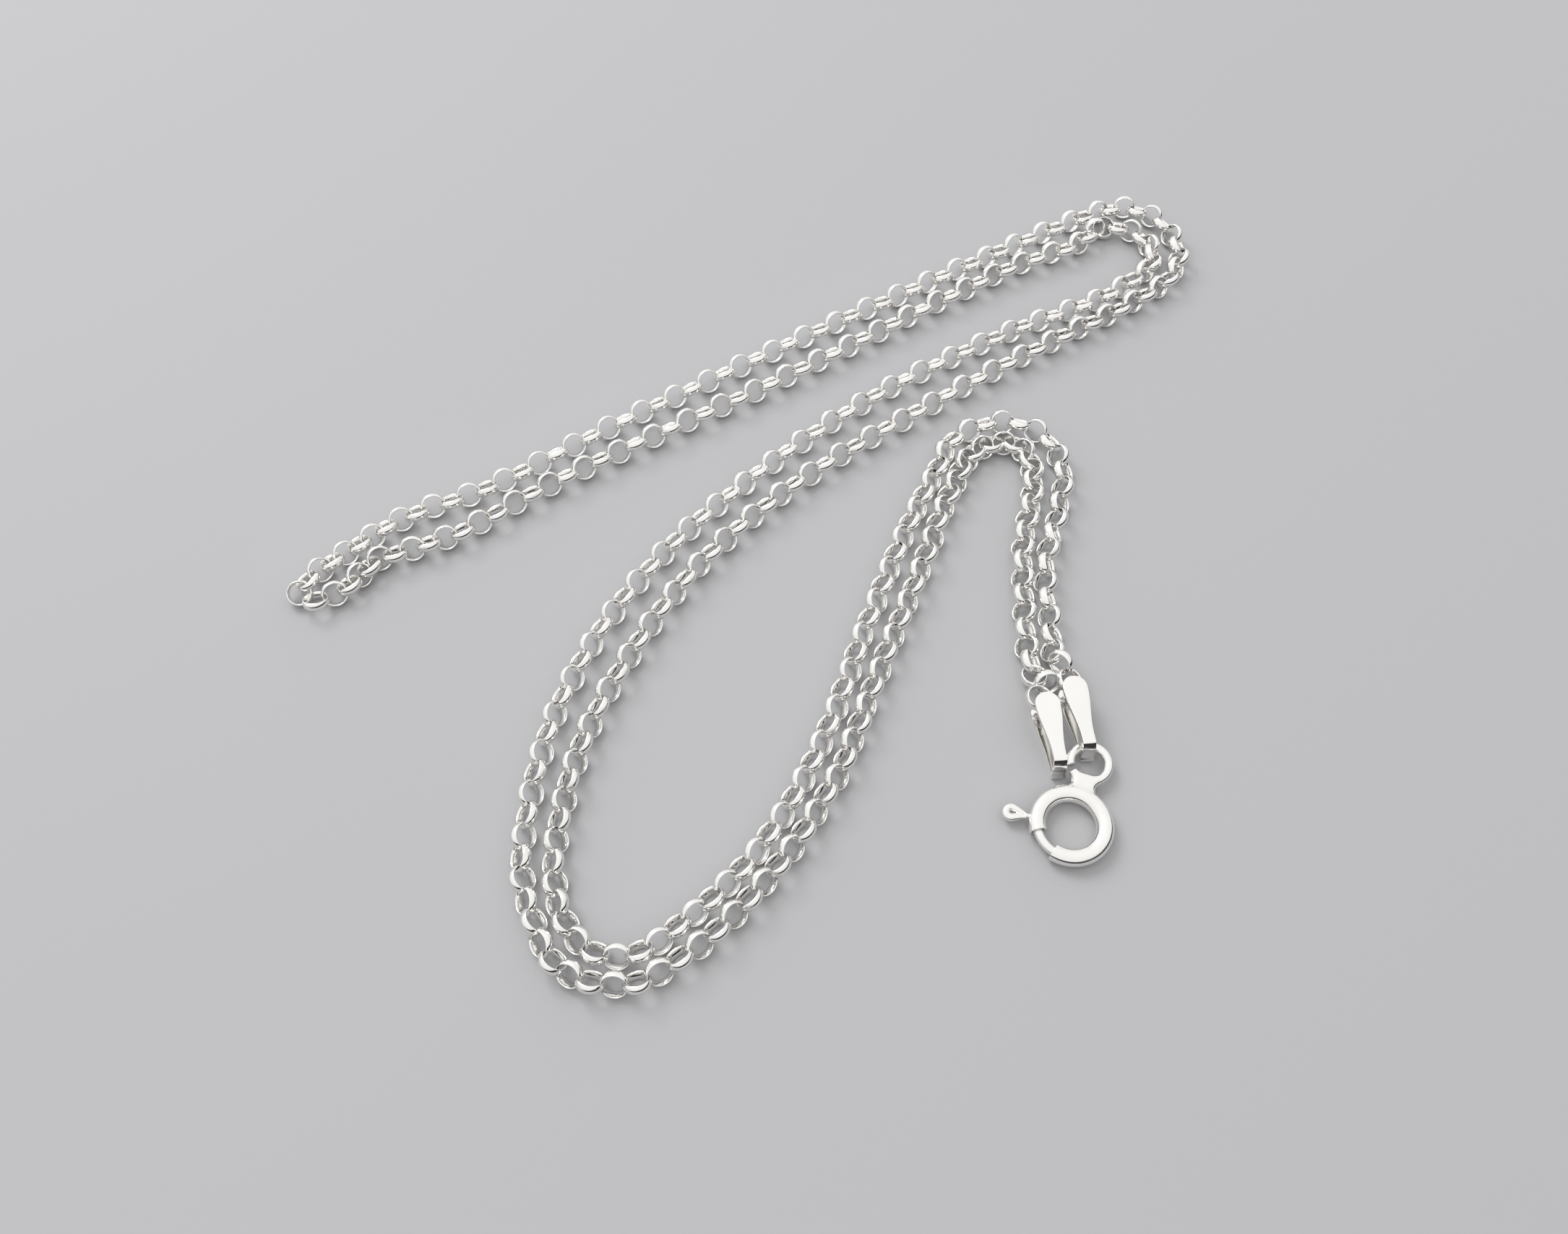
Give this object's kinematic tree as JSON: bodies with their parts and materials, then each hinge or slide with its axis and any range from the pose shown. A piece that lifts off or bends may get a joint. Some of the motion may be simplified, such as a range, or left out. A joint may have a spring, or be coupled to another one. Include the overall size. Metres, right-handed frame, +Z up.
{
  "type": "rolo chain necklace with a spring ring clasp",
  "caption": "Fine silver rolo chain of round half-round-wire links, laid in a serpentine, with folded end tags and a spring ring clasp.",
  "frame": {"origin": "centre of the laid-out chain's box, on the surface that it lies on", "axes": "+Z up from the surface, +Y away from the viewer, +X to the right; the clasp is at the right, the fold at the left"},
  "size_m": [0.0653, 0.0634, 0.0019],
  "materials": {
    "chain_silver": "mirror polished silver",
    "tag_silver": "polished sheet silver",
    "clasp_silver": "polished tube silver with soldered neck",
    "bolt_silver": "polished wire"
  },
  "bodies": {
    "necklace": {"chain_clasp_side": "chain_silver", "chain_catch_side": "chain_silver", "end_link_clasp": "chain_silver", "end_link_catch": "chain_silver", "tag_clasp": "tag_silver", "tag_catch": "tag_silver", "clasp_ring": "clasp_silver"},
    "bolt": {"bolt": "bolt_silver"}
  },
  "joints": [
    {"name": "bolt_slide", "type": "hinge", "parent": "necklace", "child": "bolt", "pos_m": [0.01856, -0.0214, 0.00057], "axis": [0, 0, -1], "range_deg": [0, 53], "stiffness_Nm_per_rad": 0.002, "springref_deg": -28.65}
  ]
}
